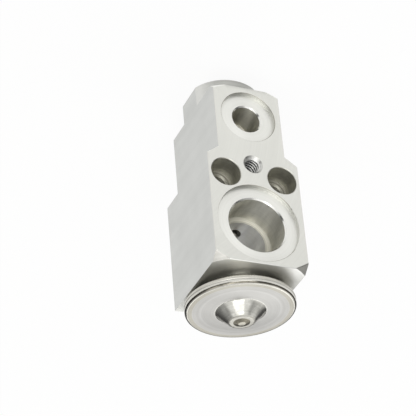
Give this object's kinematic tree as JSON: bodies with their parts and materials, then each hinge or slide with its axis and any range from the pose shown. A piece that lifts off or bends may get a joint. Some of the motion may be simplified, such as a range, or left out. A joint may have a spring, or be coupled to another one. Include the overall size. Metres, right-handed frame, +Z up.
{
  "type": "thermostatic expansion valve",
  "caption": "Block-type thermostatic expansion valve with a diaphragm power head, through suction passage, liquid ports, fixing holes and a spring adjuster.",
  "frame": {"origin": "on the valve axis, in the end face of the adjuster's boss, on which the valve stands", "axes": "+Z up the valve axis from the boss to the power head; -Y out of the hose-side ports and +Y out of the evaporator-side ports; +X to the right seen from the hose side"},
  "size_m": [0.0384, 0.04, 0.0928],
  "materials": {
    "machined_aluminium": "milled satin",
    "head_steel": "turned satin",
    "plug_steel": "bright",
    "turned_steel": "turned",
    "ground_steel": "ground",
    "spring_steel": "bright rolled",
    "screw_aluminium": "turned",
    "seal_rubber": "smooth"
  },
  "bodies": {
    "block": {"valve_body": "machined_aluminium", "head_neck": "turned_steel", "head_seal_ring": "seal_rubber", "head_pan": "head_steel", "diaphragm": "spring_steel", "head_cover": "head_steel", "charge_plug": "plug_steel", "rod_seal": "seal_rubber", "seal_washer": "turned_steel", "seal_push_nut": "spring_steel"},
    "valve_train": {"diaphragm_stop": "turned_steel", "push_rod": "ground_steel", "valve_ball": "ground_steel", "ball_cradle": "turned_steel", "damping_spring": "spring_steel", "superheat_spring": "spring_steel"},
    "adjuster_ring": {"adjusting_screw_seal": "seal_rubber"},
    "adjuster": {"adjusting_screw": "screw_aluminium"}
  },
  "joints": [
    {"name": "valve_lift", "type": "slide", "parent": "block", "child": "valve_train", "axis": [0, 0, -1], "range_m": [0, 0.0008], "stiffness_N_per_m": 8000, "springref_m": -0.002, "deforming": ["superheat_spring", "diaphragm"]},
    {"name": "adjuster_advance", "type": "slide", "parent": "block", "child": "adjuster_ring", "axis": [0, 0, 1], "range_m": [-0.001, 0.001], "deforming": ["superheat_spring"]},
    {"name": "adjuster_turn", "type": "hinge", "parent": "adjuster_ring", "child": "adjuster", "pos_m": [0, 0, 0], "axis": [0, 0, 1], "range_deg": [-360, 360]}
  ],
  "couplings": [
    {"joint": "adjuster_advance", "follows": "adjuster_turn", "m_per_rad": 0.00015915}
  ]
}
